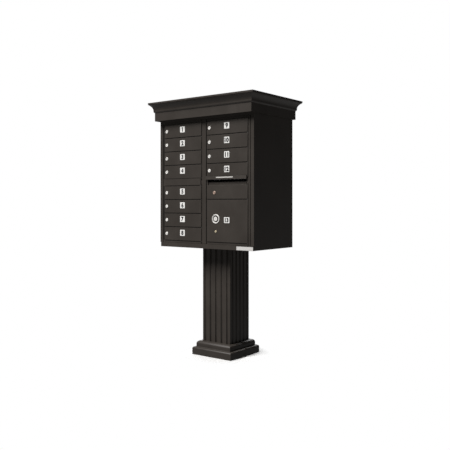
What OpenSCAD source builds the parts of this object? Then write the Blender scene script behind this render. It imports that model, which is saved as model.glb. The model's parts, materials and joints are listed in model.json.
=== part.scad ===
// Pedestal-mounted cluster mailbox unit: a fluted pillar carries a cabinet with two front-loading
// master doors, twelve numbered tenant doors, an outgoing mail door with its slot and one parcel door.
// Origin: centre of the anchor-bolt rectangle, on the ground. +X right, -Y front, +Z up. Millimetres.

/* [Cabinet] */
// Width across the two side panels
cab_w = 774.7; // [720:0.1:830]
// Depth from the front of the corner posts to the back
cab_d = 457.2; // [400:0.1:520]
// Height of the cabinet bottom above the ground
stand_h = 722; // [600:1:800]
// Thickness of the cabinet panels
panel_t = 3; // [2:0.5:3]
// Height of the sill rail under the master doors
sill_h = 30; // [26:1:36]
// Visible width of each front corner post
post_w = 25.6; // [22:0.1:28]
// How far each post stands outside its side panel
post_lip = 5.65; // [4:0.05:7]

/* [Doors] */
// Height of one tenant row, gap included
row_h = 92; // [84:0.5:100]
// Height of the blank rail between the upper and lower rows
band_h = 47; // [44:1:56]
// Gap between neighbouring doors
door_gap = 5; // [3:0.1:5.5]
// Distance from the cabinet centre line to each door column
col_inner = 23; // [23:0.5:24]
// Distance from the side panel face to the nearest door edge
col_outer = 37.35; // [37.35:0.05:40]
// How far the tenant doors stand in front of the posts
door_proud = 5.6; // [5.6:0.1:6.5]
// Depth of the master door frames
frame_deep = 24; // [22:1:25]
// Frame border above the top row and below the bottom row
frame_margin = 13; // [12:0.5:16]
// Width of the frame ledge behind each door edge
ledge = 10; // [9:0.5:11]

/* [Crown cap] */
// Height of the cap's straight fascia
fascia_h = 56; // [48:1:64]
// Height of the concave moulding above the fascia's quarter round
cove_h = 40; // [34:1:43]
// Radius of that concave moulding
cove_r = 45; // [44:0.5:60]
// Height of the top slab
slab_h = 14; // [10:1:20]
// Fascia overhang at the sides
rim_side = 16.8; // [12:0.1:20]
// Fascia overhang at the front
rim_front = 43.8; // [32:0.1:48]
// Fascia overhang at the back
rim_back = 11.8; // [8:0.1:20]

/* [Pillar and base] */
// Width of the pillar cover
pillar_w = 234; // [226:1:240]
// Depth of the pillar cover
pillar_d = 212; // [208:1:222]
// Radius of each vertical flute
flute_r = 8.5; // [7:0.5:9]
// Distance from a pillar corner to the nearest flute
flute_edge = 24; // [22:0.5:26]
// Radius of the pillar corners
corner_r = 5; // [4:1:7]
// Width of the square base moulding
base_w = 325; // [318:1:360]
// Height of the base moulding
base_h = 91; // [84:1:98]
// Hole spacing of the anchor rectangle, both ways
anchor_pitch = 165.1; // [150:0.1:180]
// Radius of each anchor hole
anchor_r = 8; // [6.5:0.1:9]

/* [Locks] */
// Radius of a tenant lock's front ring
lock_ring_r = 11; // [9:0.1:12]
// Distance from a tenant door's free edge to its lock
lock_inset = 23; // [22:0.5:24]
// Radius of the parcel lock's front ring
big_ring_r = 30; // [28:0.5:32]

/* [Hidden] */

over = 1;
fit_gap = 0.05;
bronze = [0.24, 0.22, 0.20];
metal = [0.75, 0.76, 0.78];
brassy = [0.80, 0.62, 0.33];
coppery = [0.66, 0.48, 0.40];

half_w = cab_w / 2;
front_y = -cab_d / 2;
back_y = cab_d / 2;

// Heights, from the ground up.
sill_z = stand_h + sill_h;
master_z = sill_z + 1.5;
row_0_z = master_z + frame_margin;
band_z = row_0_z + 4 * row_h;
upper_z = band_z + band_h;
rows_top_z = upper_z + 4 * row_h;
master_top_z = rows_top_z + frame_margin;
header_z = master_top_z + 1.5;
header_h = 21;
cab_top_z = header_z + header_h;
rim_z = cab_top_z - 8;

// Master frames and the doors laid over them.
frame_y = front_y - 0.4;
frame_back_y = frame_y + frame_deep;
frame_t = 3;
door_y = front_y - door_proud;
door_t = 3;
barrel_r = 2.4;
rod_r = 1;
barrel_y = door_y + barrel_r;
door_w = half_w - col_outer - col_inner;
left_x = -half_w + col_outer;
right_x = col_inner;
master_out = half_w - 23.85;
split_left = 12.5;
split_right = 19.5;
pivot_in = 4.5;
pivot_r = 2.5;
pivot_block_h = 14.5;
pan_in = ledge + 3;
pan_t = 1.5;
pan_back_y = frame_y + frame_t + 1;

// Locks: plugs run in their housings, cams turn behind the frame.
plug_r = 6;
lock_body_r = 8;
lock_end_y = frame_y + frame_t + 1.8;
cam_y = lock_end_y + 0.3;
cam_t = 2.5;
cam_half_w = 4.5;
tenant_cam = 17;
out_lock_x = right_x + 64;
out_lock_z = band_z - 49.5;
out_cam = 44;
big_lock_x = right_x + 76;
big_lock_z = row_0_z + 150.5;
big_plug_r = 14;
big_body_r = 24;
big_cam = 71;
control_x = right_x + 75;
control_z = row_0_z + 69.5;
control_r = 5;
control_cam = 64;

// Slide latch behind the bar between the outgoing and parcel doors.
latch_z = row_0_z + 3 * row_h;
latch_y = frame_y + 12.5;
latch_half = 2.5;
latch_half_h = 4;
strike_x = panel_t / 2;

// Outgoing slot, its hood, and the shortened door above them.
slot_low_z = band_z - 1;
slot_high_z = upper_z - 10.5;
hood_top_z = upper_z + 9.5;
hood_drop = 21.5;
hood_brow = 12;
hood_reach = 14;
above_hood_z = hood_top_z + 1 - door_gap / 2;

// The cap's quarter round with a flat above it, its reach beyond the fascia, and the step under the slab.
round_h = 12;
flat_h = 2;
cove_out = 7;
step_h = 3;
slab_out = 2.5;

shelf_front_y = frame_back_y + 5;
shelf_t = 2;
return_y = shelf_front_y - 1;

post_tube = 101.6;
tube_t = 4.8;
foot_w = 254;
foot_t = 12.7;
head_w = 180;
head_t = 9.5;
cab_bolt_xy = 70;
cab_bolt_r = 5;

// Lower edge of a tenant row: 0 to 3 lie below the band, 4 to 7 above it.
function row_z(r) = r < 4 ? row_0_z + r * row_h : upper_z + (r - 4) * row_h;
// Doors 1 to 8 run down the left column, 9 to 12 down the upper right; 12 stops above the hood.
function tenant_row(n) = n <= 8 ? 8 - n : 16 - n;
function tenant_x(n) = n <= 8 ? left_x : right_x;
function tenant_low_z(n) = n == 12 ? above_hood_z : row_z(tenant_row(n));

// ---------- shared shapes ----------

module box(x0, x1, y0, y1, z0, z1) {
    translate([x0, y0, z0]) cube([x1 - x0, y1 - y0, z1 - z0]);
}

module rod_y(x, z, r, y0, y1) {
    translate([x, y0, z]) rotate([-90, 0, 0]) cylinder(h = y1 - y0, r = r, $fn = 64);
}

module rod_z(x, y, r, z0, z1) {
    translate([x, y, z0]) cylinder(h = z1 - z0, r = r, $fn = 64);
}

// Stands a profile drawn in X and height upright, and runs it along Y.
module along_y(y0, y1) {
    translate([0, y1, 0]) rotate([90, 0, 0]) linear_extrude(y1 - y0) children();
}

// The same for a profile drawn in Y and height, run along X.
module along_x(x0, x1) {
    translate([x0, 0, 0]) rotate([90, 0, 90]) linear_extrude(x1 - x0) children();
}

// ---------- pedestal, pillar and base ----------

module pedestal() {
    tube_top = stand_h - head_t;
    color([0.62, 0.64, 0.66]) union() {
        difference() {
            box(-foot_w / 2, foot_w / 2, -foot_w / 2, foot_w / 2, 0, foot_t);
            for (x = [-1, 1], y = [-1, 1])
                rod_z(x * anchor_pitch / 2, y * anchor_pitch / 2, anchor_r, -over, foot_t + over);
        }
        difference() {
            box(-post_tube / 2, post_tube / 2, -post_tube / 2, post_tube / 2, foot_t, tube_top);
            box(-post_tube / 2 + tube_t, post_tube / 2 - tube_t,
                -post_tube / 2 + tube_t, post_tube / 2 - tube_t, foot_t - over, tube_top + over);
        }
        for (a = [0 : 90 : 270])
            rotate([0, 0, a]) along_y(-3, 3)
                polygon([[post_tube / 2, foot_t], [post_tube / 2 + 40, foot_t],
                    [post_tube / 2 + 40, foot_t + 12], [post_tube / 2, foot_t + 90]]);
        difference() {
            box(-head_w / 2, head_w / 2, -head_w / 2, head_w / 2, tube_top, stand_h);
            for (x = [-1, 1], y = [-1, 1])
                rod_z(x * cab_bolt_xy, y * cab_bolt_xy, cab_bolt_r + 0.5, tube_top - over, stand_h + over);
        }
    }
}

module cabinet_bolts() {
    nut_top = stand_h - head_t;
    color(metal)
        for (x = [-1, 1], y = [-1, 1])
            translate([x * cab_bolt_xy, y * cab_bolt_xy, 0]) {
                rod_z(0, 0, cab_bolt_r, nut_top - 12, stand_h + panel_t);
                translate([0, 0, stand_h + panel_t]) cylinder(h = 2, r = 11, $fn = 64);
                translate([0, 0, stand_h + panel_t + 2]) cylinder(h = 6.5, r = 9, $fn = 6);
                translate([0, 0, nut_top - 8]) cylinder(h = 8, r = 9.5, $fn = 6);
            }
}

// Fluted outline of the pillar cover; drop shrinks it evenly for the inside of the wall.
module pillar_outline(drop) {
    half_x = pillar_w / 2 - drop;
    half_y = pillar_d / 2 - drop;
    round_r = corner_r - drop;
    pitch_x = (pillar_w / 2 - flute_edge) / 2;
    pitch_y = (pillar_d / 2 - flute_edge) / 2;
    difference() {
        union() {
            square([2 * half_x - 2 * round_r, 2 * half_y], center = true);
            square([2 * half_x, 2 * half_y - 2 * round_r], center = true);
            for (x = [-1, 1], y = [-1, 1])
                translate([x * (half_x - round_r), y * (half_y - round_r)]) circle(r = round_r, $fn = 48);
        }
        for (s = [-1, 1], i = [-2 : 2]) {
            translate([i * pitch_x, s * (pillar_d / 2 + 1)]) circle(r = flute_r + drop, $fn = 48);
            translate([s * (pillar_w / 2 + 1), i * pitch_y]) circle(r = flute_r + drop, $fn = 48);
        }
    }
}

module pillar_cover() {
    translate([0, 0, foot_t]) linear_extrude(stand_h - foot_t) difference() {
        pillar_outline(0);
        pillar_outline(3);
    }
}

module pillar_cover_front() {
    color(bronze) intersection() {
        pillar_cover();
        box(-pillar_w, pillar_w, -pillar_w, -0.15, 0, stand_h + over);
    }
}

module pillar_cover_rear() {
    color(bronze) intersection() {
        pillar_cover();
        box(-pillar_w, pillar_w, 0.15, pillar_w, 0, stand_h + over);
    }
}

// Half profile of the base: straight plinth, rounded shoulder, then a tier with a rounded top.
module base_profile() {
    edge = base_w / 2;
    tier = edge - 20;
    for (s = [0, 1]) mirror([s, 0]) {
        square([edge, 39]);
        square([edge - 12, 51]);
        translate([edge - 12, 39]) circle(r = 12, $fn = 64);
        square([tier, base_h - 20]);
        square([tier - 20, base_h]);
        translate([tier - 20, base_h - 20]) circle(r = 20, $fn = 64);
    }
}

module base_moulding() {
    edge = base_w / 2;
    bore_x = pillar_w / 2 + 0.4;
    bore_y = pillar_d / 2 + 0.4;
    difference() {
        intersection() {
            along_y(-edge, edge) base_profile();
            along_x(-edge, edge) base_profile();
        }
        box(-edge + 3, edge - 3, -edge + 3, edge - 3, -over, 36);
        box(-edge + 15, edge - 15, -edge + 15, edge - 15, -over, 47);
        box(-edge + 23, edge - 23, -edge + 23, edge - 23, -over, base_h - 23);
        box(-edge + 40, edge - 40, -edge + 40, edge - 40, -over, base_h - 3);
        box(-bore_x, bore_x, -bore_y, bore_y, -over, base_h + over);
    }
}

module base_moulding_front() {
    color(bronze) intersection() {
        base_moulding();
        box(-base_w, base_w, -base_w, -0.15, -over, base_h + over);
    }
}

module base_moulding_rear() {
    color(bronze) intersection() {
        base_moulding();
        box(-base_w, base_w, 0.15, base_w, -over, base_h + over);
    }
}

// ---------- crown cap ----------

// Profile from the centre line out to one eave: fascia, quarter round, flat, cove and stepped slab.
module eave_profile(reach, drop) {
    round_z = rim_z + fascia_h;
    round_r = (cove_out * cove_out + round_h * round_h) / (2 * cove_out);
    cove_z = round_z + round_h + flat_h;
    slab_z = cove_z + cove_h;
    cove_run = cove_r - sqrt(cove_r * cove_r - cove_h * cove_h);
    w = reach - drop;
    start_z = drop > 0 ? rim_z - over : rim_z;
    translate([0, start_z]) square([w, cove_z + drop - start_z]);
    if (drop == 0) {
        translate([0, round_z + round_h]) square([reach + cove_out, flat_h]);
        intersection() {
            translate([reach + cove_out - round_r, round_z + round_h]) circle(r = round_r, $fn = 64);
            translate([reach - 1, round_z]) square([cove_out + 1, round_h]);
        }
        translate([0, slab_z]) square([reach + cove_out + cove_run, step_h]);
        translate([0, slab_z + step_h])
            square([reach + cove_out + cove_run + slab_out, slab_h - step_h]);
    }
    difference() {
        translate([0, cove_z + drop])
            square([w + cove_out + cove_run, cove_h + (drop > 0 ? 2 - drop : 0)]);
        translate([reach + cove_out + cove_r, cove_z]) circle(r = cove_r + drop, $fn = 96);
    }
}

module cap_solid(drop) {
    side = half_w + rim_side;
    front = rim_front - front_y;
    back = back_y + rim_back;
    intersection() {
        along_y(-cab_d, cab_d) for (s = [0, 1]) mirror([s, 0]) eave_profile(side, drop);
        along_x(-cab_w, cab_w) union() {
            mirror([1, 0]) eave_profile(front, drop);
            eave_profile(back, drop);
        }
    }
}

module crown_cap() {
    side = half_w + rim_side;
    front = front_y - rim_front;
    back = back_y + rim_back;
    color(bronze) union() {
        difference() {
            cap_solid(0);
            cap_solid(3);
        }
        difference() {
            box(-side + 2, side - 2, front + 2, back - 2, cab_top_z, cab_top_z + 3);
            box(-half_w + 60, half_w - 60, front_y + 60, back_y - 60, cab_top_z - over, cab_top_z + 4);
            cap_bolt_places() rod_z(0, 0, 3.3, cab_top_z - over, cab_top_z + 4);
        }
    }
}

module cap_bolt_places() {
    for (x = [-1, 1], y = [-1, 1])
        translate([x * (half_w - 40), y * (back_y - 40), 0]) children();
}

module cap_bolts() {
    color(metal) cap_bolt_places() union() {
        rod_z(0, 0, 3, cab_top_z - panel_t - 0.1, cab_top_z + 10);
        translate([0, 0, cab_top_z - panel_t - 4]) cylinder(h = 4, r = 6, $fn = 6);
        translate([0, 0, cab_top_z + 3]) cylinder(h = 5, r = 6, $fn = 6);
    }
}

// ---------- cabinet shell ----------

module side_panel() {
    box(half_w - panel_t, half_w, front_y + panel_t, back_y, stand_h, cab_top_z);
}

module side_panel_left() {
    color(bronze) mirror([1, 0, 0]) side_panel();
}

module side_panel_right() {
    color(bronze) side_panel();
}

module back_panel() {
    in_x = half_w - panel_t;
    color(bronze) box(-in_x, in_x, back_y - panel_t, back_y, stand_h, cab_top_z);
}

module top_panel() {
    in_x = half_w - panel_t;
    color(bronze) difference() {
        box(-in_x, in_x, front_y + panel_t, back_y - panel_t, cab_top_z - panel_t, cab_top_z);
        cap_bolt_places() rod_z(0, 0, 3.3, cab_top_z - panel_t - over, cab_top_z + over);
    }
}

module bottom_panel() {
    in_x = half_w - panel_t;
    color(bronze) difference() {
        box(-in_x, in_x, front_y + panel_t, back_y - panel_t, stand_h, stand_h + panel_t);
        for (x = [-1, 1], y = [-1, 1])
            rod_z(x * cab_bolt_xy, y * cab_bolt_xy, cab_bolt_r + 0.5,
                stand_h - over, stand_h + panel_t + over);
    }
}

// Corner post: front flange, lip wrapped round the side panel, and a return beside the master door.
module corner_post() {
    out_x = half_w + post_lip;
    in_x = out_x - post_w;
    union() {
        box(in_x, out_x, front_y, front_y + panel_t, sill_z, cab_top_z);
        box(half_w, out_x, front_y, front_y + 18.6, sill_z, cab_top_z);
        box(in_x, in_x + panel_t, front_y, return_y, sill_z, cab_top_z - panel_t);
    }
}

module corner_post_left() {
    color(bronze) mirror([1, 0, 0]) corner_post();
}

module corner_post_right() {
    color(bronze) corner_post();
}

module pivot_places() {
    for (s = [-1, 1]) translate([s * (master_out - pivot_in), frame_y + pivot_in, 0]) children();
}

module sill_rail() {
    in_x = half_w - panel_t;
    color(bronze) difference() {
        union() {
            box(-half_w, half_w, front_y, front_y + panel_t, stand_h, sill_z);
            box(-in_x, in_x, front_y, return_y, sill_z - panel_t, sill_z);
        }
        pivot_places() rod_z(0, 0, pivot_r + fit_gap, sill_z - 9, sill_z + over);
    }
}

module header_rail() {
    in_x = half_w + post_lip - post_w;
    color(bronze) difference() {
        union() {
            box(-in_x, in_x, front_y, front_y + panel_t, header_z, cab_top_z);
            box(-in_x, in_x, front_y, return_y, header_z, header_z + panel_t);
        }
        pivot_places() rod_z(0, 0, pivot_r + fit_gap, header_z - over, header_z + 12);
    }
}

module master_hinge_pins() {
    color(metal) pivot_places() {
        rod_z(0, 0, pivot_r, sill_z - 8, master_z + 12);
        rod_z(0, 0, pivot_r, master_top_z - 12, header_z + 11);
    }
}

// Blank plate on the right end of the sill rail.
module nameplate() {
    color(metal) box(half_w - 128, half_w - 1, front_y - 1.2, front_y, stand_h + 1, stand_h + 24);
}

// ---------- inside of the cabinet ----------

module divider() {
    color(metal) {
        box(-panel_t / 2, panel_t / 2, shelf_front_y, back_y - panel_t,
            stand_h + panel_t, cab_top_z - panel_t);
        difference() {
            box(strike_x, strike_x + 3, latch_y - 8, shelf_front_y + 20, latch_z - 14, latch_z + 14);
            box(strike_x - over, strike_x + 4, latch_y - 3.5, latch_y + 3.5, latch_z - 5, latch_z + 5);
        }
    }
}

// One shelf between two walls, with a hemmed front edge turned down.
module shelf(x0, x1, z) {
    union() {
        box(x0, x1, shelf_front_y, back_y - panel_t, z - shelf_t, z);
        box(x0, x1, shelf_front_y, shelf_front_y + shelf_t, z - 12, z);
    }
}

module shelves_left() {
    color(metal)
        for (r = [1 : 7])
            shelf(-half_w + panel_t, -panel_t / 2, row_z(r));
    color(metal) shelf(-half_w + panel_t, -panel_t / 2, band_z);
}

module shelves_right() {
    color(metal)
        for (z = [latch_z, upper_z, row_z(5), row_z(6), row_z(7)])
            shelf(z == latch_z ? strike_x + 3 : strike_x, half_w - panel_t, z);
}

// ---------- master doors ----------

// Ledge-framed window behind a door that starts at x and spans z0 to z1.
module window(x, z0, z1) {
    box(x + ledge, x + door_w - ledge, frame_y - over, frame_y + frame_t + over, z0 + ledge, z1 - ledge);
}

// Hinge knuckle on the frame face, holding the end of a rod.
module knuckle(x, z0, z1) {
    axis_x = x + door_w - barrel_r;
    difference() {
        union() {
            rod_z(axis_x, barrel_y, barrel_r, z0, z1);
            box(axis_x - barrel_r, axis_x + barrel_r, barrel_y, frame_y + over, z0, z1);
        }
        rod_z(axis_x, barrel_y, rod_r + fit_gap, z0 - over, z1 + over);
    }
}

module knuckles(x, upper) {
    knuckle(x, master_z + 3, row_0_z - 0.5);
    knuckle(x, band_z + 0.5, band_z + 9);
    knuckle(x, upper - 9, upper - 0.5);
    knuckle(x, rows_top_z + 0.5, master_top_z - 3);
}

// Pressed tray frame with pivot blocks at one end; the windows and slots come off as children.
module master_frame(x0, x1, pivot_x, doors_x, upper) {
    difference() {
        union() {
            difference() {
                box(x0, x1, frame_y, frame_back_y, master_z, master_top_z);
                box(x0 + frame_t, x1 - frame_t, frame_y + frame_t, frame_back_y + over,
                    master_z + frame_t, master_top_z - frame_t);
                children();
            }
            for (z = [master_z, master_top_z - pivot_block_h])
                box(pivot_x - 4, pivot_x + 4, frame_y + 0.5, frame_y + 9, z, z + pivot_block_h);
        }
        for (z = [master_z - over, master_top_z - 13])
            rod_z(pivot_x, frame_y + pivot_in, pivot_r + fit_gap, z, z + 14);
    }
    knuckles(doors_x, upper);
}

module latch_hole() {
    box(split_left - 6, split_right + 6, latch_y - 4, latch_y + 4, latch_z - 6, latch_z + 6);
}

// Shallow groove in the frame face along the free edges of a run of doors.
module edge_groove(x, z0, z1) {
    box(x - 10, x - 3, frame_y - over, frame_y + 2, z0, z1);
}

module left_master_door() {
    color(bronze)
        master_frame(-master_out, split_left, -master_out + pivot_in, left_x, upper_z) {
            for (r = [0 : 7])
                window(left_x, row_z(r), row_z(r) + row_h);
            edge_groove(left_x, row_0_z + 2, band_z);
            edge_groove(left_x, upper_z, rows_top_z - 2);
            latch_hole();
        }
    color(bronze)
        box(left_x, left_x + door_w - 6, door_y, frame_y + over, band_z + door_gap / 2, upper_z);
}

module right_master_door() {
    color(bronze)
        master_frame(split_right, master_out, master_out - pivot_in, right_x, above_hood_z) {
            for (n = [9 : 12])
                window(right_x, tenant_low_z(n), row_z(tenant_row(n)) + row_h);
            window(right_x, latch_z, band_z);
            window(right_x, row_0_z, latch_z);
            box(right_x + 6, right_x + door_w - 12, frame_y - over, frame_y + frame_t + over,
                slot_low_z, slot_high_z);
            latch_hole();
        }
    color(bronze)
        for (x = [right_x + 16, right_x + 38])
            difference() {
                box(x, x + 10, frame_y + frame_t, latch_y + 6, latch_z - 8, latch_z + 8);
                box(x - over, x + 11, latch_y - 3, latch_y + 3, latch_z - 4.5, latch_z + 4.5);
            }
}

module hinge_rods(x, upper) {
    axis_x = x + door_w - barrel_r;
    rod_z(axis_x, barrel_y, rod_r, master_z + 4, band_z + 8);
    rod_z(axis_x, barrel_y, rod_r, upper - 8, master_top_z - 4);
}

module hinge_rods_left() {
    color(metal) hinge_rods(left_x, upper_z);
}

module hinge_rods_right() {
    color(metal) hinge_rods(right_x, above_hood_z);
}

// Folded rain hood over the outgoing slot, with closed ends.
module mail_hood() {
    brow_y = frame_y - hood_brow;
    tip_y = frame_y - hood_reach;
    brow_z = hood_top_z - 0.5;
    tip_z = hood_top_z - hood_drop;
    x0 = split_right + 1;
    x1 = right_x + door_w - 6;
    color(bronze) union() {
        along_x(x0, x1)
            polygon([[frame_y, hood_top_z], [brow_y, brow_z], [tip_y, tip_z], [tip_y + 1.7, tip_z],
                [brow_y + 1.2, brow_z - 1.6], [frame_y, hood_top_z - 2]]);
        for (x = [x0, x1 - 2])
            along_x(x, x + 2)
                polygon([[frame_y, hood_top_z], [brow_y, brow_z], [tip_y, tip_z], [frame_y, tip_z]]);
    }
}

// Sheet behind the slot: an upstand that stops prying hands, then a slope that drops letters inside.
module mail_chute() {
    lip_y = frame_y + frame_t;
    back = lip_y + 20;
    color(bronze)
        along_x(right_x + 6, right_x + door_w - 18)
            polygon([[lip_y, slot_low_z - 1.5], [lip_y, slot_low_z], [lip_y + 2, slot_low_z],
                [lip_y + 2, slot_low_z + 20], [lip_y + 4, slot_low_z + 20.5], [back, slot_low_z + 12],
                [back, slot_low_z + 10.3], [lip_y + 4, slot_low_z + 18.7],
                [lip_y + 3.6, slot_low_z + 18.5], [lip_y + 3.6, slot_low_z - 1.5]]);
}

// Blank strip lying on the hood's face.
module hood_label() {
    fall = hood_drop - 0.5;
    run = hood_reach - hood_brow;
    color(metal)
        along_x(right_x + 82.5, right_x + 217)
            translate([frame_y - hood_brow, hood_top_z - 0.5]) rotate(180 + atan2(fall, run))
                translate([4.9, -0.82]) square([7, 0.8]);
}

// ---------- hinged doors ----------

// Door skin with a rolled hinge edge and a stiffening pan behind it.
module door_leaf(x, z0, z1) {
    low = z0 + door_gap / 2;
    high = z1 - door_gap / 2;
    axis_x = x + door_w - barrel_r;
    difference() {
        union() {
            box(x, axis_x, door_y, door_y + door_t, low, high);
            rod_z(axis_x, barrel_y, barrel_r, low, high);
            difference() {
                box(x + pan_in, x + door_w - pan_in, door_y + 0.5, pan_back_y, z0 + pan_in, z1 - pan_in);
                box(x + pan_in + pan_t, x + door_w - pan_in - pan_t, door_y, pan_back_y + over,
                    z0 + pan_in + pan_t, z1 - pan_in - pan_t);
            }
        }
        rod_z(axis_x, barrel_y, rod_r + fit_gap, low - over, high + over);
    }
}

// Fixed lock housing: ring on the door face and a body behind it.
module lock_housing(x, z, ring_r, body_r, bore_r) {
    difference() {
        union() {
            rod_y(x, z, ring_r, door_y - 2.6, door_y);
            rod_y(x, z, body_r, door_y - over, lock_end_y);
        }
        rod_y(x, z, bore_r + fit_gap, door_y - 4, lock_end_y + over);
    }
}

// Turning plug with its keyway, cam and cam screw. aim turns the cam from straight up.
module lock_plug(x, z, r, cam_long, aim) {
    difference() {
        rod_y(x, z, r, door_y - 3.4, cam_y + 1);
        box(x - 0.8, x + 0.8, door_y - 5, door_y + 1, z - 0.62 * r, z + 0.62 * r);
    }
    translate([x, cam_y, z]) rotate([0, aim, 0]) {
        translate([-cam_half_w, 0, 0]) cube([2 * cam_half_w, cam_t, cam_long]);
        rod_y(0, 0, r + 1, 0, cam_t);
        rod_y(0, 0, 3, 0, cam_t + 2);
    }
}

module tenant_door(n) {
    z0 = row_z(tenant_row(n));
    x = tenant_x(n);
    mid_z = z0 + row_h / 2;
    color(bronze) difference() {
        door_leaf(x, tenant_low_z(n), z0 + row_h);
        rod_y(x + lock_inset, mid_z, lock_body_r, door_y - over, pan_back_y + over);
    }
    color(metal) lock_housing(x + lock_inset, mid_z, lock_ring_r, lock_body_r, plug_r);
}

module tenant_lock(n) {
    z = row_z(tenant_row(n)) + row_h / 2;
    color(metal) lock_plug(tenant_x(n) + lock_inset, z, plug_r, tenant_cam, 0);
}

module outgoing_door() {
    color(bronze) difference() {
        door_leaf(right_x, latch_z, band_z);
        rod_y(out_lock_x, out_lock_z, lock_body_r, door_y - over, pan_back_y + over);
    }
    color(coppery) lock_housing(out_lock_x, out_lock_z, lock_ring_r, lock_body_r, plug_r);
}

module outgoing_lock() {
    color(coppery) lock_plug(out_lock_x, out_lock_z, plug_r, out_cam, 90);
}

module parcel_door() {
    color(bronze) difference() {
        door_leaf(right_x, row_0_z, latch_z);
        rod_y(big_lock_x, big_lock_z, big_body_r, door_y - over, pan_back_y + over);
        rod_y(control_x, control_z, control_r + 1.5, door_y - over, pan_back_y + over);
    }
    color(brassy) lock_housing(control_x, control_z, control_r + 2.2, control_r + 1.5, control_r);
}

// Wide ring with a raised rim, a sunk annulus and a raised centre around the plug.
module parcel_lock_housing() {
    color(metal) difference() {
        union() {
            rod_y(big_lock_x, big_lock_z, big_ring_r, door_y - 3, door_y);
            rod_y(big_lock_x, big_lock_z, big_body_r, door_y - over, lock_end_y);
            rod_y(big_lock_x, big_lock_z, big_plug_r + 3, door_y - 4.5, door_y - over);
        }
        difference() {
            rod_y(big_lock_x, big_lock_z, big_ring_r - 4, door_y - 4, door_y - 1.6);
            rod_y(big_lock_x, big_lock_z, big_plug_r + 3, door_y - 5, door_y);
        }
        rod_y(big_lock_x, big_lock_z, big_plug_r + fit_gap, door_y - 6, lock_end_y + over);
    }
}

module parcel_lock_plug() {
    color(metal) union() {
        difference() {
            rod_y(big_lock_x, big_lock_z, big_plug_r, door_y - 5, cam_y + 1);
            box(big_lock_x - 1, big_lock_x + 1, door_y - 6, door_y, big_lock_z - 6, big_lock_z + 6);
        }
        translate([big_lock_x, cam_y, big_lock_z]) {
            translate([-6, 0, 0]) cube([12, cam_t, big_cam]);
            rod_y(0, 0, big_plug_r + 2, 0, cam_t);
            rod_y(0, 0, 5, 0, cam_t + 3);
        }
    }
}

module control_lock() {
    color(brassy) lock_plug(control_x, control_z, control_r, control_cam, 90);
}

// Sliding bolt that pins both master doors to the divider, with a finger tab above it.
module master_latch() {
    low_y = latch_y - latch_half;
    high_y = latch_y + latch_half;
    color(metal) union() {
        box(right_x + 6, right_x + 100, low_y, high_y, latch_z - latch_half_h, latch_z + latch_half_h);
        box(right_x + 86, right_x + 92, low_y, high_y, latch_z, latch_z + 28);
    }
}

module door_1() { tenant_door(1); }
module door_2() { tenant_door(2); }
module door_3() { tenant_door(3); }
module door_4() { tenant_door(4); }
module door_5() { tenant_door(5); }
module door_6() { tenant_door(6); }
module door_7() { tenant_door(7); }
module door_8() { tenant_door(8); }
module door_9() { tenant_door(9); }
module door_10() { tenant_door(10); }
module door_11() { tenant_door(11); }
module door_12() { tenant_door(12); }
module lock_1() { tenant_lock(1); }
module lock_2() { tenant_lock(2); }
module lock_3() { tenant_lock(3); }
module lock_4() { tenant_lock(4); }
module lock_5() { tenant_lock(5); }
module lock_6() { tenant_lock(6); }
module lock_7() { tenant_lock(7); }
module lock_8() { tenant_lock(8); }
module lock_9() { tenant_lock(9); }
module lock_10() { tenant_lock(10); }
module lock_11() { tenant_lock(11); }
module lock_12() { tenant_lock(12); }

pedestal();
cabinet_bolts();
pillar_cover_front();
pillar_cover_rear();
base_moulding_front();
base_moulding_rear();
crown_cap();
cap_bolts();
side_panel_left();
side_panel_right();
back_panel();
top_panel();
bottom_panel();
corner_post_left();
corner_post_right();
sill_rail();
header_rail();
nameplate();
divider();
shelves_left();
shelves_right();
master_hinge_pins();
left_master_door();
hinge_rods_left();
right_master_door();
hinge_rods_right();
mail_hood();
mail_chute();
hood_label();
outgoing_door();
outgoing_lock();
parcel_door();
parcel_lock_housing();
parcel_lock_plug();
control_lock();
master_latch();
door_1();
door_2();
door_3();
door_4();
door_5();
door_6();
door_7();
door_8();
door_9();
door_10();
door_11();
door_12();
lock_1();
lock_2();
lock_3();
lock_4();
lock_5();
lock_6();
lock_7();
lock_8();
lock_9();
lock_10();
lock_11();
lock_12();
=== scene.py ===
import json
import math

import bmesh
import bpy
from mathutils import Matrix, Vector


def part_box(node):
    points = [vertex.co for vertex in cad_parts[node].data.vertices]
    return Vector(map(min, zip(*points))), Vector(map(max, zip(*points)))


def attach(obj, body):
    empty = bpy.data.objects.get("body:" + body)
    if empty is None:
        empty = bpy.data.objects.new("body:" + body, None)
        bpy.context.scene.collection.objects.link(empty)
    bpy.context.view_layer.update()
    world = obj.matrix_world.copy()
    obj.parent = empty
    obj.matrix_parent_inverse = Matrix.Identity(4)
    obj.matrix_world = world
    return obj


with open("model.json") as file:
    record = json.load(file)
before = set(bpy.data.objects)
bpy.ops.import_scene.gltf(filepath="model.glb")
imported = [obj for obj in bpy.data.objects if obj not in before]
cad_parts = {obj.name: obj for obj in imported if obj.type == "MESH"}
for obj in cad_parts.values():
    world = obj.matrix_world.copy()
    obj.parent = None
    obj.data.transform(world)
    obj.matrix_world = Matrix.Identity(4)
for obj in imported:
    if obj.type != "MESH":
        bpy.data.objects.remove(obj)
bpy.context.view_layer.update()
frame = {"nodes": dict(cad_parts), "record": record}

nodes = frame["nodes"]
scene = bpy.context.scene
MM = 0.001
TENANTS = range(1, 13)

# ---------- camera: level, at chest height, to the right of the front ----------

camera_data = bpy.data.cameras.new("camera")
camera_data.sensor_width = 36.0
camera_data.lens = 51.8
camera_data.shift_y = -0.0479
camera = bpy.data.objects.new("camera", camera_data)
scene.collection.objects.link(camera)
camera.location = (2.6845, -3.4865, 1.0158)
camera.rotation_euler = (math.radians(90), 0, math.radians(37.68))
scene.camera = camera

# ---------- node helpers ----------


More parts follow.
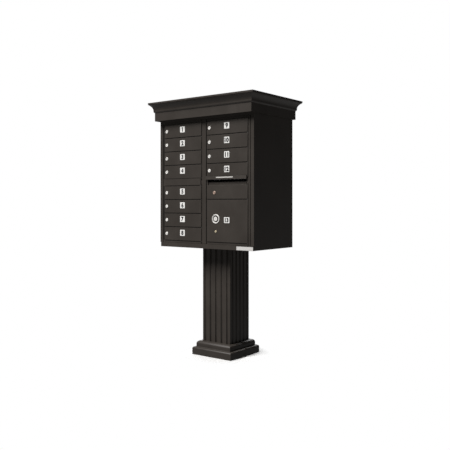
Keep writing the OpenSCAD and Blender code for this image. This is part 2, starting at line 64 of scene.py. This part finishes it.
def new_material(name):
    mat = bpy.data.materials.new(name)
    mat.use_nodes = True
    tree = mat.node_tree
    tree.nodes.clear()
    out = tree.nodes.new("ShaderNodeOutputMaterial")
    shader = tree.nodes.new("ShaderNodeBsdfPrincipled")
    tree.links.new(shader.outputs["BSDF"], out.inputs["Surface"])
    return mat, tree, shader


def position(tree, scale=(1, 1, 1)):
    where = tree.nodes.new("ShaderNodeTexCoord")
    mapping = tree.nodes.new("ShaderNodeMapping")
    mapping.inputs["Scale"].default_value = scale
    tree.links.new(where.outputs["Object"], mapping.inputs["Vector"])
    return mapping.outputs["Vector"]


def noise(tree, where, scale, detail=4.0, rough=0.5):
    n = tree.nodes.new("ShaderNodeTexNoise")
    n.inputs["Scale"].default_value = scale
    n.inputs["Detail"].default_value = detail
    n.inputs["Roughness"].default_value = rough
    tree.links.new(where, n.inputs["Vector"])
    return n.outputs["Fac"]


def remap(tree, value, from_low, from_high, to_low, to_high):
    r = tree.nodes.new("ShaderNodeMapRange")
    ends = (("From Min", from_low), ("From Max", from_high), ("To Min", to_low), ("To Max", to_high))
    for socket, number in ends:
        r.inputs[socket].default_value = number
    tree.links.new(value, r.inputs["Value"])
    return r.outputs["Result"]


def blend(tree, factor, a, b):
    m = tree.nodes.new("ShaderNodeMix")
    m.data_type = "RGBA"
    tree.links.new(factor, m.inputs["Factor"])
    for sock, value in ((m.inputs[6], a), (m.inputs[7], b)):
        if isinstance(value, tuple):
            sock.default_value = (*value, 1.0)
        else:
            tree.links.new(value, sock)
    return m.outputs[2]


def combine(tree, kind, a, b):
    m = tree.nodes.new("ShaderNodeMath")
    m.operation = kind
    for sock, value in ((m.inputs[0], a), (m.inputs[1], b)):
        if isinstance(value, (int, float)):
            sock.default_value = value
        else:
            tree.links.new(value, sock)
    return m.outputs[0]


def bump(tree, shader, height, strength, distance):
    b = tree.nodes.new("ShaderNodeBump")
    b.inputs["Strength"].default_value = strength
    b.inputs["Distance"].default_value = distance
    tree.links.new(height, b.inputs["Height"])
    tree.links.new(b.outputs["Normal"], shader.inputs["Normal"])


def shade(tone, factor, lift=0.0):
    return tuple(c * factor + lift for c in tone)


# ---------- materials ----------


DUST = (0.20, 0.18, 0.155)


def powder_coat(name, tone, dust=0.2):
    """Dark bronze powder coat: fine orange peel, cloudy tone, dust on upward faces, rain streaks."""
    mat, tree, shader = new_material(name)
    where = position(tree)
    cloudy = noise(tree, where, scale=5.0, detail=5.0, rough=0.6)
    speckle = noise(tree, where, scale=900.0, detail=2.0)
    colour = blend(tree, remap(tree, cloudy, 0.3, 0.7, 0, 1), shade(tone, 0.88), shade(tone, 1.13))
    colour = blend(tree, remap(tree, speckle, 0.62, 0.8, 0, 0.5), colour, shade(tone, 1.9))
    streak = noise(tree, position(tree, scale=(38, 38, 1.2)), scale=1.0, detail=3.0, rough=0.55)
    colour = blend(tree, remap(tree, streak, 0.58, 0.8, 0, 0.22), colour, shade(tone, 1.8, lift=0.006))
    facing = tree.nodes.new("ShaderNodeNewGeometry")
    split = tree.nodes.new("ShaderNodeSeparateXYZ")
    tree.links.new(facing.outputs["Normal"], split.inputs["Vector"])
    drifts = noise(tree, where, scale=14.0, detail=6.0, rough=0.65)
    settled = combine(tree, "MULTIPLY", remap(tree, split.outputs["Z"], 0.55, 1.0, 0, dust),
                      remap(tree, drifts, 0.35, 0.65, 0.25, 1.0))
    colour = blend(tree, settled, colour, DUST)
    tree.links.new(colour, shader.inputs["Base Color"])
    rough = combine(tree, "ADD", remap(tree, cloudy, 0.3, 0.7, 0.43, 0.55),
                    combine(tree, "MULTIPLY", settled, 0.5))
    tree.links.new(rough, shader.inputs["Roughness"])
    shader.inputs["Specular IOR Level"].default_value = 0.42
    peel = noise(tree, where, scale=420.0, detail=2.0, rough=0.45)
    grain = combine(tree, "ADD", peel, combine(tree, "MULTIPLY", speckle, 0.45))
    bump(tree, shader, grain, strength=0.32, distance=0.6 * MM)
    return mat


def metal(name, tone, rough, brush=(1, 1, 1), grain=260.0, tarnish=0.2, bare=1.0):
    """Bare or plated metal with fine working marks and patchy dulling."""
    mat, tree, shader = new_material(name)
    marks = noise(tree, position(tree, brush), scale=grain, detail=3.0, rough=0.6)
    patches = noise(tree, position(tree), scale=60.0, rough=0.6)
    colour = blend(tree, remap(tree, patches, 0.42, 0.7, 0, tarnish * 2), tone, shade(tone, 0.72))
    tree.links.new(colour, shader.inputs["Base Color"])
    shader.inputs["Metallic"].default_value = bare
    both = combine(tree, "ADD", remap(tree, marks, 0.3, 0.7, rough * 0.75, rough * 1.25),
                   remap(tree, patches, 0.4, 0.7, 0.0, 0.14))
    tree.links.new(both, shader.inputs["Roughness"])
    bump(tree, shader, marks, strength=0.18, distance=0.2 * MM)
    return mat


def galvanised(name):
    """Zinc spangle on heavy steel."""
    mat, tree, shader = new_material(name)
    cells = tree.nodes.new("ShaderNodeTexVoronoi")
    cells.inputs["Scale"].default_value = 90.0
    tree.links.new(position(tree), cells.inputs["Vector"])
    split = tree.nodes.new("ShaderNodeSeparateColor")
    tree.links.new(cells.outputs["Color"], split.inputs["Color"])
    colour = blend(tree, split.outputs["Red"], (0.36, 0.38, 0.40), (0.58, 0.60, 0.62))
    tree.links.new(colour, shader.inputs["Base Color"])
    shader.inputs["Metallic"].default_value = 0.9
    tree.links.new(remap(tree, split.outputs["Green"], 0, 1, 0.36, 0.6), shader.inputs["Roughness"])
    bump(tree, shader, cells.outputs["Distance"], strength=0.15, distance=0.4 * MM)
    return mat


def printed(name, tone, rough, grime=0.25):
    """Tag stock or paint: slightly uneven, with handling grime."""
    mat, tree, shader = new_material(name)
    where = position(tree)
    fade = noise(tree, where, scale=55.0, rough=0.6)
    colour = blend(tree, remap(tree, fade, 0.45, 0.8, 0, grime), tone, shade(tone, 0.6))
    tree.links.new(colour, shader.inputs["Base Color"])
    tree.links.new(remap(tree, fade, 0.3, 0.7, rough * 0.85, rough * 1.15), shader.inputs["Roughness"])
    bump(tree, shader, noise(tree, where, scale=700.0, detail=2.0), strength=0.12, distance=0.2 * MM)
    return mat


BRONZE = (0.0385, 0.0321, 0.0270)
ACROSS = (0.03, 1, 1)
UPRIGHT = (1, 0.04, 1)

bronze = powder_coat("bronze_powder_coat", BRONZE)
# The base moulding gets a darker copy of the bronze powder coat, painted shade standing in for the base
# being less lit; it also carries less dust.
base_bronze_painted_shade = powder_coat("bronze_powder_coat_base_shaded", shade(BRONZE, 0.85), dust=0.05)
steel = metal("zinc_plated_steel", (0.60, 0.60, 0.59), rough=0.34)
zinc = galvanised("galvanised_steel")
mill = metal("mill_aluminium", (0.66, 0.67, 0.68), rough=0.36, brush=UPRIGHT, grain=420.0, tarnish=0.25)
label_metal = metal("dull_label_plate", (0.62, 0.61, 0.58), rough=0.5, brush=ACROSS, grain=900.0,
                    tarnish=0.15, bare=0.2)
plate_metal = metal("anodised_plate", (0.80, 0.79, 0.77), rough=0.45, brush=ACROSS, grain=900.0,
                    tarnish=0.1, bare=0.3)
# Nickel for the locks: a near-white colour with little metallic reflection, so its brightness is painted
# sheen standing in for the reflection of polished nickel.
nickel = metal("nickel_painted_sheen", (0.95, 0.94, 0.91), rough=0.38, grain=500.0, tarnish=0.06, bare=0.2)
brass = metal("lock_brass", (0.86, 0.76, 0.54), rough=0.32, grain=500.0, tarnish=0.12, bare=0.35)
copper = metal("lock_copper", (0.56, 0.42, 0.35), rough=0.36, grain=500.0, tarnish=0.12, bare=0.5)
dark_ring = metal("dark_annulus", (0.06, 0.055, 0.05), rough=0.45, grain=500.0, tarnish=0.3)
tag_white = printed("tag_white", (0.94, 0.94, 0.92), rough=0.42, grime=0.1)
ink = printed("tag_ink", (0.009, 0.009, 0.010), rough=0.6, grime=0.1)
# The seal strips' near-black is painted shade: it stands in for the shade in the gaps around the doors.
seal_shade_black = printed("seal_shade_black", (0.008, 0.008, 0.008), rough=0.9, grime=0.3)
seal_shade_black.node_tree.nodes["Principled BSDF"].inputs["Specular IOR Level"].default_value = 0.15

by_slot = {
    "bronze_paint": bronze, "galvanised": zinc, "mill_aluminium": mill, "zinc_steel": steel,
    "nickel": nickel, "brass_lock": brass, "copper_lock": copper, "plate_aluminium": plate_metal,
}
slot_of = {s["node"]: s["material_slot"] for s in frame["record"]["subparts"]}
special = {"base_moulding_front": base_bronze_painted_shade, "base_moulding_rear": base_bronze_painted_shade, "hood_label": label_metal}

# ---------- CAD nodes: materials and softened edges ----------

# Widths of the softened edges in millimetres.
LOCK_EDGE = 0.35
OTHER_EDGE = 0.7
EDGE_ANGLE = 35
WELD_DISTANCE = 1e-6
edge_width = {"crown_cap": 1.6, "base_moulding_front": 1.6, "base_moulding_rear": 1.6,
              "pillar_cover_front": 0.8, "pillar_cover_rear": 0.8, "pedestal": 1.2,
              "parcel_lock_housing": 0.6, "nameplate": 0.3, "hood_label": 0.25}


def bevel(obj, width, segments, angle):
    b = obj.modifiers.new("edge", "BEVEL")
    b.width = width
    b.segments = segments
    b.limit_method = "ANGLE"
    b.angle_limit = math.radians(angle)


for name, obj in nodes.items():
    obj.data.materials.clear()
    obj.data.materials.append(special.get(name, by_slot[slot_of[name]]))
    for poly in obj.data.polygons:
        poly.material_index = 0
    weld = obj.modifiers.new("weld", "WELD")
    weld.merge_threshold = WELD_DISTANCE
    width = edge_width.get(name, LOCK_EDGE if name.startswith("lock_") else OTHER_EDGE)
    bevel(obj, width * MM, segments=2, angle=EDGE_ANGLE)

# The door faces lie behind the fronts of the lock bezels.
BEZEL = 2.6 * MM
door_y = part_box("door_1")[0].y + BEZEL


# How far behind its front a lock plug's face is still counted, and how far a face has to stand out of a door
# for it to belong to the bezel.
FACE_DEPTH = 0.3 * MM
STANDS_OUT = 0.05 * MM
HOUSING_STANDS_OUT = 0.5 * MM


def middle(values):
    return (min(values) + max(values)) / 2


def lock_centre(lock):
    """Axis of a lock's round plug, from the front of its node."""
    data = nodes[lock].data
    front = min(v.co.y for v in data.vertices)
    face = [v.co for v in data.vertices if v.co.y < front + FACE_DEPTH]
    return middle([p.x for p in face]), middle([p.z for p in face])


def plate_ring(door, lock, ring_r, body_r, mat):
    """Gives a door node's fixed lock bezel and body their own metal; returns the lock's centre."""
    obj = nodes[door]
    cx, cz = lock_centre(lock)
    obj.data.materials.append(mat)
    index = len(obj.data.materials) - 1
    for poly in obj.data.polygons:
        c = poly.center
        away = math.hypot(c.x - cx, c.z - cz)
        in_front = c.y < door_y - STANDS_OUT and away < ring_r
        if in_front or away < body_r:
            poly.material_index = index
    return cx, cz


# Radii of the bezel and of the lock body behind the door.
LOCK_RADII = (11.4 * MM, 8.3 * MM)
CONTROL_RADII = (7.6 * MM, 6.7 * MM)
tenant_lock = {n: plate_ring(f"door_{n}", f"lock_{n}", *LOCK_RADII, nickel) for n in TENANTS}
outgoing_lock = plate_ring("outgoing_door", "outgoing_lock", *LOCK_RADII, copper)
plate_ring("parcel_door", "control_lock", *CONTROL_RADII, brass)
big_lock = lock_centre("parcel_lock_plug")

# The parcel lock's sunk face, between its plug and its outer ring, is dark.
ANNULUS = (14.2 * MM, 26.2 * MM)
housing = nodes["parcel_lock_housing"]
housing.data.materials.append(dark_ring)
for poly in housing.data.polygons:
    c = poly.center
    away = math.hypot(c.x - big_lock[0], c.z - big_lock[1])
    if ANNULUS[0] < away < ANNULUS[1] and c.y < door_y - HOUSING_STANDS_OUT:
        poly.material_index = 1

# ---------- mesh builders ----------


SMOOTH_ANGLE = 38
PIECE_EDGE_ANGLE = 40


def finish_mesh(name, bm, mat, body, edge=0.0, smooth=True):
    """Turns a bmesh into a piece on a body, with softened edges where edge is their width."""
    bmesh.ops.recalc_face_normals(bm, faces=bm.faces)
    data = bpy.data.meshes.new(name)
    bm.to_mesh(data)
    bm.free()
    obj = bpy.data.objects.new(name, data)
    scene.collection.objects.link(obj)
    data.materials.append(mat)
    if smooth:
        for poly in data.polygons:
            poly.use_smooth = True
        data.set_sharp_from_angle(angle=math.radians(SMOOTH_ANGLE))
    if edge:
        bevel(obj, edge, segments=3, angle=PIECE_EDGE_ANGLE)
    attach(obj, body)


def round_plate(bm, cx, cz, y_front, y_back, w, h, r, steps=8):
    """Flat plate with rounded corners, facing -Y."""
    outline = []
    for sx, sz, a0 in ((1, 1, 0), (-1, 1, 90), (-1, -1, 180), (1, -1, 270)):
        for i in range(steps + 1):
            a = math.radians(a0 + 90 * i / steps)
            x = cx + sx * (w / 2 - r) + r * math.cos(a)
            outline.append((x, cz + sz * (h / 2 - r) + r * math.sin(a)))
    front = [bm.verts.new((x, y_front, z)) for x, z in outline]
    back = [bm.verts.new((x, y_back, z)) for x, z in outline]
    bm.faces.new(front)
    bm.faces.new(list(reversed(back)))
    for i in range(len(outline)):
        j = (i + 1) % len(outline)
        bm.faces.new((front[i], back[i], back[j], front[j]))


def lathe(bm, centre, axis, profile, around=40):
    """Turns (radius, height) pairs round an axis through centre; a radius of 0 closes the end."""
    axis = Vector(axis).normalized()
    side = axis.orthogonal().normalized()
    other = axis.cross(side)
    rings = []
    for r, h in profile:
        if r == 0:
            rings.append([bm.verts.new(Vector(centre) + axis * h)])
            continue
        ring = []
        for i in range(around):
            a = 2 * math.pi * i / around
            across = side * (r * math.cos(a)) + other * (r * math.sin(a))
            ring.append(bm.verts.new(Vector(centre) + axis * h + across))
        rings.append(ring)
    for a, b in zip(rings, rings[1:]):
        for i in range(around):
            j = (i + 1) % around
            if len(a) == 1 and len(b) > 1:
                bm.faces.new((a[0], b[i], b[j]))
            elif len(b) == 1 and len(a) > 1:
                bm.faces.new((a[i], b[0], a[j]))
            elif len(a) > 1:
                bm.faces.new((a[i], b[i], b[j], a[j]))


# Thickness of the printed numerals, how much their strokes are widened, and capital height over font size.
INK = 0.12 * MM
STROKE = 2.1 * MM
CAPITAL = 0.72


def numeral(name, text, cx, cz, y_back, height, body):
    """Raised numeral of printed ink, centred on cx, cz."""
    curve = bpy.data.curves.new(name + "_outline", "FONT")
    curve.body = text
    curve.size = height / CAPITAL
    curve.extrude = INK
    curve.offset = STROKE
    curve.align_x = "CENTER"
    temp = bpy.data.objects.new(name + "_outline", curve)
    scene.collection.objects.link(temp)
    bpy.context.view_layer.update()
    data = bpy.data.meshes.new_from_object(temp.evaluated_get(bpy.context.evaluated_depsgraph_get()))
    bpy.data.objects.remove(temp)
    bpy.data.curves.remove(curve)
    mid_x = middle([v.co.x for v in data.vertices])
    mid_y = middle([v.co.y for v in data.vertices])
    for v in data.vertices:
        v.co = Vector((cx + v.co.x - mid_x, y_back - INK - v.co.z, cz + v.co.y - mid_y))
    data.name = name
    obj = bpy.data.objects.new(name, data)
    scene.collection.objects.link(obj)
    data.materials.clear()
    data.materials.append(ink)
    bm = bmesh.new()
    bm.from_mesh(data)
    bmesh.ops.remove_doubles(bm, verts=bm.verts, dist=WELD_DISTANCE)
    bmesh.ops.recalc_face_normals(bm, faces=bm.faces)
    bm.to_mesh(data)
    bm.free()
    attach(obj, body)


# ---------- number tags ----------

TAG_THICK = 0.9 * MM
TAG_CORNER = 3 * MM
TAG_EDGE = 0.25 * MM
TAG_SIZE, FIGURE = (41 * MM, 40 * MM), 27 * MM
PARCEL_TAG_SIZE, PARCEL_FIGURE = (43 * MM, 37 * MM), 25.5 * MM
# Height of a tenant's tag above its lock, and of the parcel tag above the middle of its door.
TAG_RISE, PARCEL_TAG_RISE = 7 * MM, 5.5 * MM


def number_tag(label, text, door, size, cz, figure):
    """White tag with a numeral on a door; figure is the numeral's height."""
    low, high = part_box(door)
    cx = (low.x + high.x) / 2
    bm = bmesh.new()
    round_plate(bm, cx, cz, door_y - TAG_THICK, door_y, *size, TAG_CORNER)
    finish_mesh(f"number_tag_{label}", bm, tag_white, door, TAG_EDGE)
    numeral(f"numeral_{label}", text, cx, cz, door_y - TAG_THICK, figure, door)


for n in TENANTS:
    number_tag(str(n), str(n), f"door_{n}", TAG_SIZE, tenant_lock[n][1] + TAG_RISE, FIGURE)
parcel_low, parcel_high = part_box("parcel_door")
parcel_tag_z = (parcel_low.z + parcel_high.z) / 2 + PARCEL_TAG_RISE
number_tag("parcel", "13", "parcel_door", PARCEL_TAG_SIZE, parcel_tag_z, PARCEL_FIGURE)

# ---------- lock trim ----------


def ring_trim(name, centre, rings, mat, body):
    """Round-topped ridges standing on a lock face, one per (radius, half width, foot, height)."""
    steps = 8
    bm = bmesh.new()
    for radius, half, foot, height in rings:
        profile = []
        for i in range(steps + 1):
            a = math.pi * i / steps
            profile.append((radius - half * math.cos(a), height * math.sin(a)))
        lathe(bm, (centre[0], foot, centre[1]), (0, -1, 0), profile, around=72)
    finish_mesh(name, bm, mat, body)


lock_rim = [(9.2 * MM, 1.5 * MM, door_y - BEZEL, 0.7 * MM)]
for n, centre in tenant_lock.items():
    ring_trim(f"lock_rim_{n}", centre, lock_rim, nickel, f"door_{n}")
ring_trim("outgoing_lock_rim", outgoing_lock, lock_rim, copper, "outgoing_door")
outer_ring = (28 * MM, 1.7 * MM, door_y - 3.0 * MM, 1.0 * MM)
inner_ring = (23.8 * MM, 1.9 * MM, door_y - 1.6 * MM, 1.1 * MM)
ring_trim("parcel_lock_rings", big_lock, [outer_ring, inner_ring], nickel, "parcel_door")

# ---------- black seal strips: painted shade in the door gaps ---


def slab(bm, x0, x1, y0, y1, z0, z1):
    corners = [bm.verts.new((x, y, z)) for x in (x0, x1) for y in (y0, y1) for z in (z0, z1)]
    for a, b, c, d in ((0, 1, 3, 2), (4, 6, 7, 5), (0, 4, 5, 1), (2, 3, 7, 6), (0, 2, 6, 4), (1, 5, 7, 3)):
        bm.faces.new((corners[a], corners[b], corners[c], corners[d]))


def seal_ring(bm, door, above, below):
    """Black strip lying on the frame behind a door's edges; it reaches past the door into the gaps, where
    its black is painted shade.
    """
    low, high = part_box(door)
    x0, x1 = low.x + LOCK_MARGIN, high.x - HINGE_MARGIN
    front, back = frame_face - SEAL_THICK, frame_face
    inner_low, inner_high = low.z + SEAL_WIDTH, high.z - SEAL_WIDTH
    slab(bm, x0, x1, front, back, inner_high, high.z + above)
    slab(bm, x0, x1, front, back, low.z - below, inner_low)
    slab(bm, x0, x0 + SEAL_WIDTH, front, back, inner_low, inner_high)
    slab(bm, x1 - HINGE_SIDE_WIDTH, x1, front, back, inner_low, inner_high)


def door_names(first, last):
    return [f"door_{n}" for n in range(first, last + 1)]


def finish_seals(name, bm, body, edge=0.0):
    finish_mesh(name, bm, seal_shade_black, body, edge, smooth=False)


SEAL_WIDTH = 7.5 * MM
SEAL_THICK = 1.8 * MM
LOCK_MARGIN = 1.2 * MM
HINGE_MARGIN = 6.5 * MM
HINGE_SIDE_WIDTH = 2 * MM
# The frame's face lies this far behind the fronts of the lock bezels.
FRAME_DEPTH = 7.8 * MM
frame_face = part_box("door_1")[0].y + FRAME_DEPTH
gap = (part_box("door_1")[0].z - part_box("door_2")[1].z) / 2

# Each stack of doors, from top to bottom; a black strip fills half of the gap to the next door, as painted
# shade in that gap.
for name, body, stacks in (
        ("door_seals_left", "left_master", (door_names(1, 4), door_names(5, 8))),
        ("door_seals_right", "right_master", (door_names(9, 12), ["outgoing_door", "parcel_door"]))):
    bm = bmesh.new()
    for stack in stacks:
        for door in stack:
            seal_ring(bm, door, 0 if door == stack[0] else gap, 0 if door == stack[-1] else gap)
    finish_seals(name, bm, body)

# A black root and a wider black lip beside each stack of the left column, painted shade along the doors'
# left edges, as (outer x, front, back) from the door's edge and the frame's face; both end at the same
# distance from the doors.
ROOT = (-9.6 * MM, -0.1 * MM, 2 * MM)
LIP = (-12 * MM, -0.8 * MM, 0)
INNER_EDGE = -3.4 * MM
bm = bmesh.new()
for top, bottom in (("door_1", "door_4"), ("door_5", "door_8")):
    edge_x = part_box(top)[0].x
    z0, z1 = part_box(bottom)[0].z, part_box(top)[1].z
    for outer, front, back in (ROOT, LIP):
        slab(bm, edge_x + outer, edge_x + INNER_EDGE, frame_face + front, frame_face + back, z0, z1)
finish_seals("edge_shade_seal_left", bm, "left_master")

# Black strip where the master doors meet, painted shade in that gap, open where the 8 mm high latch bar
# passes.
SUNK, STRIP_X, STRIP_FRONT, STRIP_BACK = 0.1 * MM, 1.6 * MM, 0.8 * MM, 14 * MM
END_INSET = 4 * MM
LATCH_BAR, LATCH_ROOM = 8 * MM, 3 * MM
master_low, master_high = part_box("left_master_door")
latch_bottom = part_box("master_latch")[0].z
below_latch = (master_low.z + END_INSET, latch_bottom - LATCH_ROOM)
above_latch = (latch_bottom + LATCH_BAR + LATCH_ROOM, master_high.z - END_INSET)
bm = bmesh.new()
for z0, z1 in (below_latch, above_latch):
    slab(bm, master_high.x - SUNK, master_high.x + STRIP_X,
         frame_face + STRIP_FRONT, frame_face + STRIP_BACK, z0, z1)
finish_seals("centre_shade_seal", bm, "left_master", edge=0.3 * MM)

# ---------- fasteners ----------


def rivet(bm, x, z):
    """Domed rivet head on the back panel."""
    steps = 6
    profile = [(RIVET_R, 0)]
    for i in range(1, steps + 1):
        a = math.pi / 2 * i / steps
        profile.append((RIVET_R * math.cos(a) if i < steps else 0, RIVET_H * math.sin(a)))
    lathe(bm, (x, back_high.y, z), (0, 1, 0), profile, around=20)


def pan_screw(bm, centre, side):
    """Pan head with a sunk drive recess, facing +X or -X."""
    r, h = SCREW_R, SCREW_H
    profile = [(r, 0), (r, h * 0.45), (r * 0.86, h * 0.85), (r * 0.6, h), (r * 0.42, h),
               (r * 0.36, h * 0.45), (0, h * 0.35)]
    lathe(bm, centre, (side, 0, 0), profile, around=24)


RIVET_R, RIVET_H = 4.2 * MM, 1.5 * MM
SCREW_R, SCREW_H = 3.2 * MM, 1.6 * MM
SCREW_INSET = 60 * MM
# Distance of the screws from the seam between the two halves, and the base screws' height.
PILLAR_SCREW_Y, BASE_SCREW_Y = 8 * MM, 12 * MM
BASE_SCREW_Z = 17 * MM

back_low, back_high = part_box("back_panel")
back_h, back_w = back_high.z - back_low.z, back_high.x - back_low.x
rows, row_inset = 9, 40 * MM
columns, edge_inset = 7, 14 * MM
bm = bmesh.new()
for i in range(rows):
    z = back_low.z + row_inset + (back_h - 2 * row_inset) * i / (rows - 1)
    for x in (back_low.x + edge_inset, back_high.x - edge_inset):
        rivet(bm, x, z)
for i in range(1, columns - 1):
    x = back_low.x + edge_inset + (back_w - 2 * edge_inset) * i / (columns - 1)
    rivet(bm, x, back_low.z + edge_inset)
finish_mesh("back_rivets", bm, bronze, "cabinet")

pillar_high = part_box("pillar_cover_front")[1]
base_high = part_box("base_moulding_front")[1]
screw_z = (base_high.z + SCREW_INSET, (base_high.z + pillar_high.z) / 2, pillar_high.z - SCREW_INSET)
bm = bmesh.new()
for side in (-1, 1):
    for z in screw_z:
        for y in (-PILLAR_SCREW_Y, PILLAR_SCREW_Y):
            pan_screw(bm, (side * pillar_high.x, y, z), side)
finish_mesh("pillar_cover_screws", bm, bronze, "cabinet")

bm = bmesh.new()
for side in (-1, 1):
    for y in (-BASE_SCREW_Y, BASE_SCREW_Y):
        pan_screw(bm, (side * base_high.x, y, BASE_SCREW_Z), side)
finish_mesh("base_moulding_screws", bm, bronze, "cabinet")

# ---------- stage ----------


def floor_material():
    """Pale floor that fades out before its edge, so that it meets the white surround softly."""
    mat, tree, shader = new_material("studio_floor")
    where = position(tree)
    tone = (0.84, 0.84, 0.84)
    patches = remap(tree, noise(tree, where, scale=1.5, detail=3.0), 0.3, 0.7, 0, 1)
    tree.links.new(blend(tree, patches, tone, shade(tone, 0.98)), shader.inputs["Base Color"])
    shader.inputs["Roughness"].default_value = 0.85
    reach = tree.nodes.new("ShaderNodeVectorMath")
    reach.operation = "LENGTH"
    tree.links.new(where, reach.inputs[0])
    tree.links.new(remap(tree, reach.outputs["Value"], FADE_START, FADE_END, 1, 0), shader.inputs["Alpha"])
    return mat


# Radii in metres at which the floor starts and ends its fade, and its edge.
FADE_START, FADE_END, FLOOR_R = 0.17, 0.30, 0.32
FLOOR_SIDES = 96
bm = bmesh.new()
ring = []
for i in range(FLOOR_SIDES):
    a = 2 * math.pi * i / FLOOR_SIDES
    ring.append(bm.verts.new((FLOOR_R * math.cos(a), FLOOR_R * math.sin(a), 0)))
bm.faces.new(ring)
data = bpy.data.meshes.new("floor")
bm.to_mesh(data)
bm.free()
floor = bpy.data.objects.new("floor", data)
scene.collection.objects.link(floor)
data.materials.append(floor_material())
floor.visible_diffuse = False
floor.visible_glossy = False

# The camera sees a white surround. The object gets a weaker light that is strongest from below,
# as over a pale ground.
WHITE = (1, 1, 1, 1)
FROM_BELOW, FROM_ABOVE = 0.34, 0.02
BELOW_Z, ABOVE_Z = -0.5, 0.15
world = bpy.data.worlds.new("studio")
world.use_nodes = True
tree = world.node_tree
surround = tree.nodes["Background"]
surround.inputs["Color"].default_value = WHITE
direction = tree.nodes.new("ShaderNodeTexCoord")
split = tree.nodes.new("ShaderNodeSeparateXYZ")
tree.links.new(direction.outputs["Generated"], split.inputs["Vector"])
strength = remap(tree, split.outputs["Z"], BELOW_Z, ABOVE_Z, FROM_BELOW, FROM_ABOVE)
tree.links.new(strength, surround.inputs["Strength"])
backdrop = tree.nodes.new("ShaderNodeBackground")
backdrop.inputs["Color"].default_value = WHITE
path = tree.nodes.new("ShaderNodeLightPath")
either = tree.nodes.new("ShaderNodeMixShader")
tree.links.new(path.outputs["Is Camera Ray"], either.inputs["Fac"])
tree.links.new(surround.outputs["Background"], either.inputs[1])
tree.links.new(backdrop.outputs["Background"], either.inputs[2])
tree.links.new(either.outputs["Shader"], tree.nodes["World Output"].inputs["Surface"])
scene.world = world


def soft_sun(name, from_azimuth, elevation, strength, spread, tint):
    """Broad soft light, angles in degrees. Azimuth 0 comes from the front, 90 from the right."""
    data = bpy.data.lights.new(name, "SUN")
    data.energy = strength
    data.angle = math.radians(spread)
    data.color = tint
    lamp = bpy.data.objects.new(name, data)
    scene.collection.objects.link(lamp)
    a, e = math.radians(from_azimuth), math.radians(elevation)
    source = Vector((math.sin(a) * math.cos(e), -math.cos(a) * math.cos(e), math.sin(e)))
    lamp.rotation_euler = source.to_track_quat("Z", "Y").to_euler()


soft_sun("key", -22, elevation=50, strength=4.4, spread=28, tint=(1.0, 0.98, 0.96))
soft_sun("rear_fill", 205, elevation=35, strength=1.6, spread=40, tint=(1, 1, 1))

scene.view_settings.view_transform = "Standard"
scene.view_settings.look = "None"
